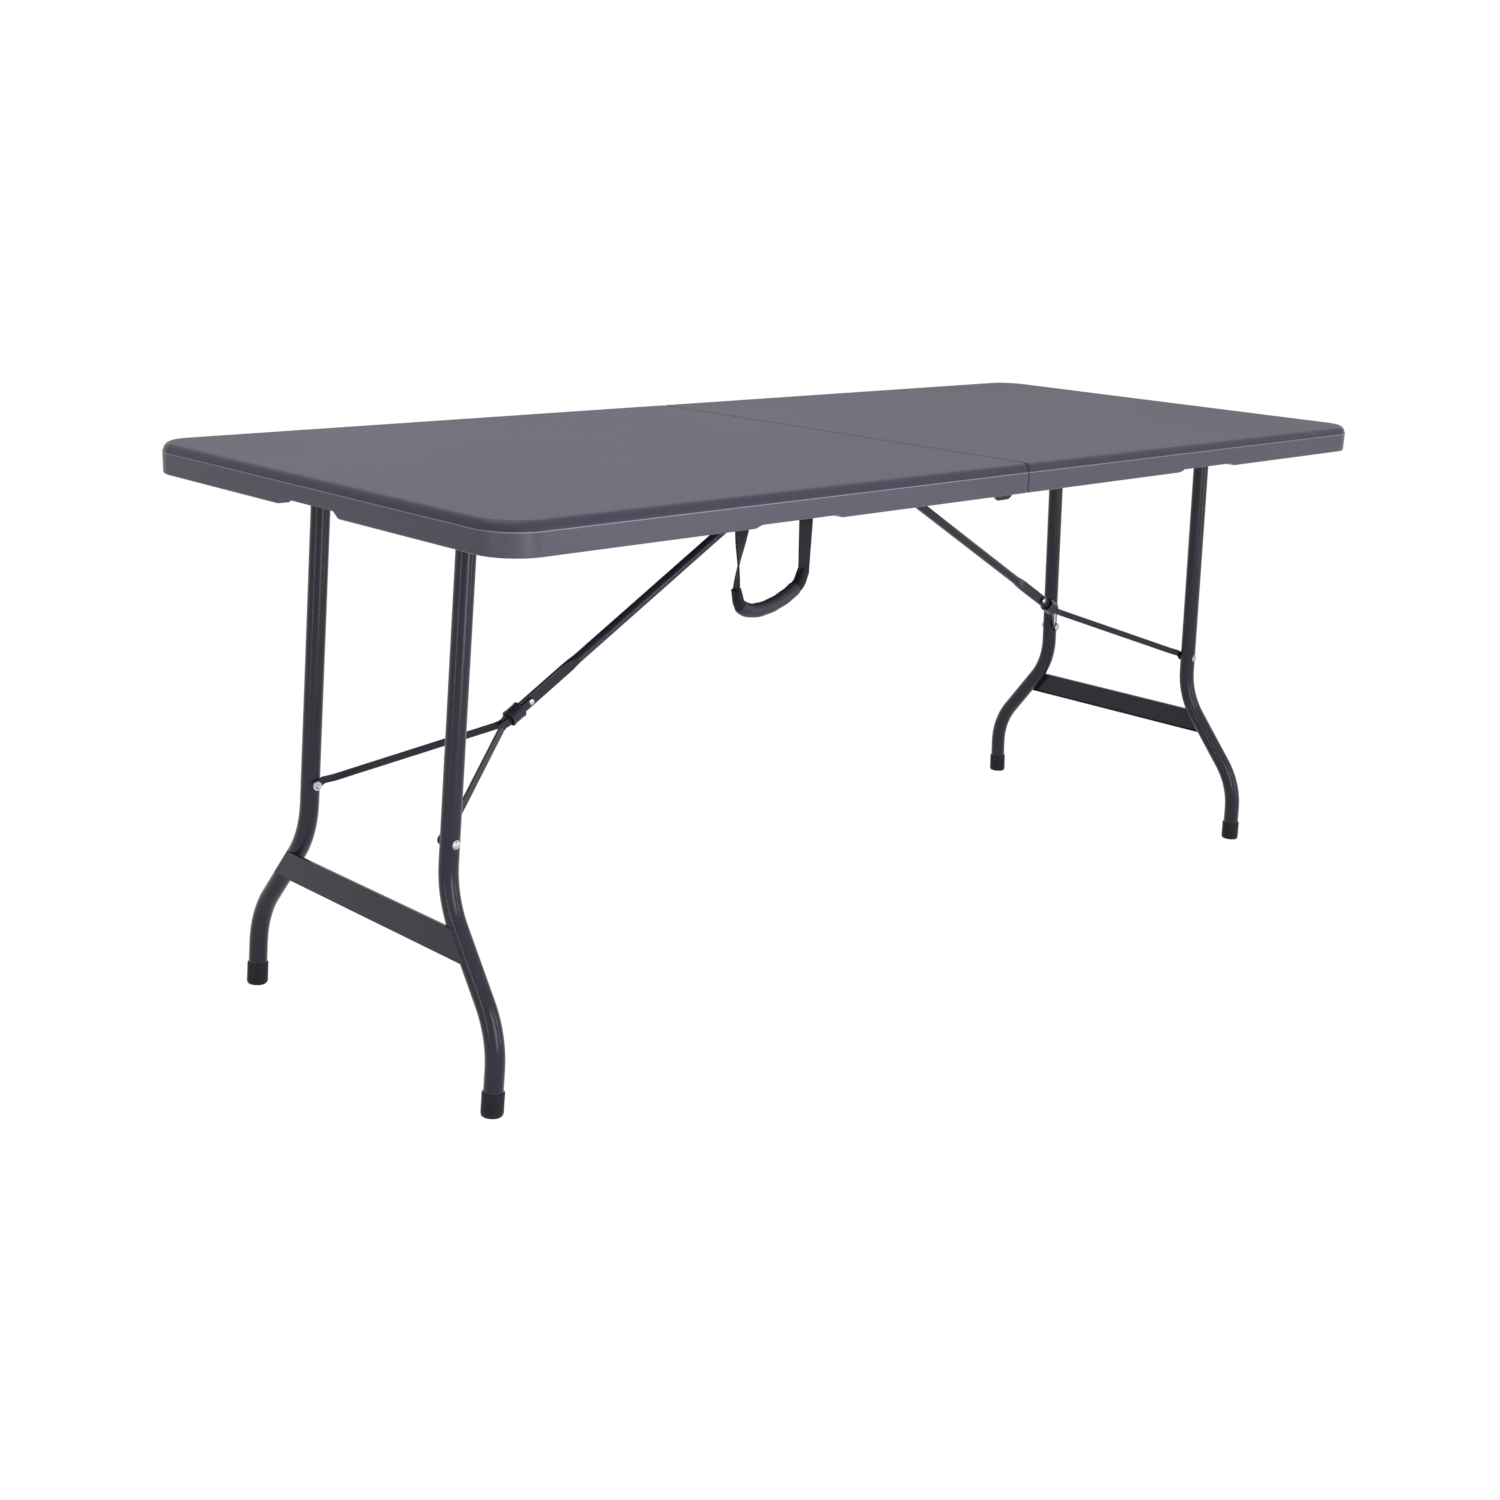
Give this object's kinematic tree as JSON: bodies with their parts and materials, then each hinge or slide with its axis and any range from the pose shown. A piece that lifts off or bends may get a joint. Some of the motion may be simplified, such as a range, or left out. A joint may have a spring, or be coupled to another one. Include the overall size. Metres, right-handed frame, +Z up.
{
  "type": "folding table",
  "caption": "Fold-in-half plastic-topped folding table with two hinged leg frames, locking braces and a carry handle.",
  "frame": {"origin": "centre of the bounding box on the floor", "axes": "+X along the top towards the right half, +Y towards the back long side, +Z up"},
  "size_m": [1.8, 0.74, 0.74],
  "materials": {
    "top_plastic": "fine satin grain",
    "frame_paint": "satin powder coat",
    "bright_steel": "zinc plated",
    "rubber": "matt",
    "webbing": "woven strap",
    "grip_rubber": "soft satin",
    "nylon": "moulded"
  },
  "bodies": {
    "half_left": {"tabletop_left": "top_plastic", "brace_cross_tube_left": "frame_paint", "rail_left_front": "frame_paint", "pivot_bush_left_front": "nylon", "hinge_plate_left_front": "frame_paint", "rail_screw_left_front_1": "bright_steel", "rail_screw_left_front_2": "bright_steel", "hinge_pin_front": "bright_steel", "rail_left_back": "frame_paint", "pivot_bush_left_back": "nylon", "hinge_plate_left_back": "frame_paint", "rail_screw_left_back_1": "bright_steel", "rail_screw_left_back_2": "bright_steel", "hinge_pin_back": "bright_steel", "handle_anchor_outer": "nylon", "handle_anchor_inner": "nylon"},
    "legs_left": {"leg_pivot_tube_left": "frame_paint", "leg_crossbar_left": "frame_paint", "leg_left_front": "frame_paint", "foot_left_front": "rubber", "leg_bolt_left_front": "bright_steel", "leg_left_back": "frame_paint", "foot_left_back": "rubber", "leg_bolt_left_back": "bright_steel"},
    "arm_left": {"brace_arm_left": "frame_paint", "brace_rivet_left": "bright_steel"},
    "rods_left": {"brace_rod_left_front": "frame_paint", "brace_eyelet_left_front": "bright_steel", "brace_rod_left_back": "frame_paint", "brace_eyelet_left_back": "bright_steel"},
    "ring_left": {"lock_ring_left": "frame_paint"},
    "half_right": {"tabletop_right": "top_plastic", "brace_cross_tube_right": "frame_paint", "rail_right_front": "frame_paint", "pivot_bush_right_front": "nylon", "hinge_plate_right_front": "frame_paint", "rail_screw_right_front_1": "bright_steel", "rail_screw_right_front_2": "bright_steel", "rail_right_back": "frame_paint", "pivot_bush_right_back": "nylon", "hinge_plate_right_back": "frame_paint", "rail_screw_right_back_1": "bright_steel", "rail_screw_right_back_2": "bright_steel"},
    "legs_right": {"leg_pivot_tube_right": "frame_paint", "leg_crossbar_right": "frame_paint", "leg_right_front": "frame_paint", "foot_right_front": "rubber", "leg_bolt_right_front": "bright_steel", "leg_right_back": "frame_paint", "foot_right_back": "rubber", "leg_bolt_right_back": "bright_steel"},
    "arm_right": {"brace_arm_right": "frame_paint", "brace_rivet_right": "bright_steel"},
    "rods_right": {"brace_rod_right_front": "frame_paint", "brace_eyelet_right_front": "bright_steel", "brace_rod_right_back": "frame_paint", "brace_eyelet_right_back": "bright_steel"},
    "ring_right": {"lock_ring_right": "frame_paint"},
    "handle": {"carry_strap": "webbing", "handle_grip": "grip_rubber"}
  },
  "joints": [
    {"name": "centre_fold", "type": "hinge", "parent": "half_left", "child": "half_right", "pos_m": [0, 0, 0.7], "axis": [0, 1, 0], "range_deg": [0, 90]},
    {"name": "leg_fold_left", "type": "hinge", "parent": "half_left", "child": "legs_left", "pos_m": [-0.78, 0, 0.713], "axis": [0, -1, 0], "range_deg": [0, 93.87]},
    {"name": "brace_swing_left", "type": "hinge", "parent": "half_left", "child": "arm_left", "pos_m": [-0.032, 0, 0.716], "axis": [0, 1, 0], "range_deg": [0, 28.86]},
    {"name": "brace_knee_left", "type": "hinge", "parent": "arm_left", "child": "rods_left", "pos_m": [-0.56441, 0, 0.41708], "axis": [0, -1, 0], "range_deg": [0, 185.95]},
    {"name": "lock_slide_left", "type": "slide", "parent": "arm_left", "child": "ring_left", "axis": [0.872, 0, 0.4896], "range_m": [0, 0.4455]},
    {"name": "leg_fold_right", "type": "hinge", "parent": "half_right", "child": "legs_right", "pos_m": [0.78, 0, 0.713], "axis": [0, 1, 0], "range_deg": [0, 93.87]},
    {"name": "brace_swing_right", "type": "hinge", "parent": "half_right", "child": "arm_right", "pos_m": [0.032, 0, 0.716], "axis": [0, -1, 0], "range_deg": [0, 28.86]},
    {"name": "brace_knee_right", "type": "hinge", "parent": "arm_right", "child": "rods_right", "pos_m": [0.56441, 0, 0.41708], "axis": [0, 1, 0], "range_deg": [0, 185.95]},
    {"name": "lock_slide_right", "type": "slide", "parent": "arm_right", "child": "ring_right", "axis": [-0.872, 0, 0.4896], "range_m": [0, 0.4455]},
    {"name": "handle_swing", "type": "hinge", "parent": "half_left", "child": "handle", "pos_m": [-0.464, -0.3415, 0.708], "axis": [1, 0, 0], "range_deg": [-40, 40]}
  ],
  "couplings": [
    {"joint": "brace_swing_left", "follows": "leg_fold_left", "ratio": 0.30697},
    {"joint": "brace_knee_left", "follows": "leg_fold_left", "ratio": 1.9804},
    {"joint": "lock_slide_left", "follows": "leg_fold_left", "m_per_rad": 0.27162},
    {"joint": "brace_swing_right", "follows": "leg_fold_right", "ratio": 0.30697},
    {"joint": "brace_knee_right", "follows": "leg_fold_right", "ratio": 1.9804},
    {"joint": "lock_slide_right", "follows": "leg_fold_right", "m_per_rad": 0.27162}
  ]
}
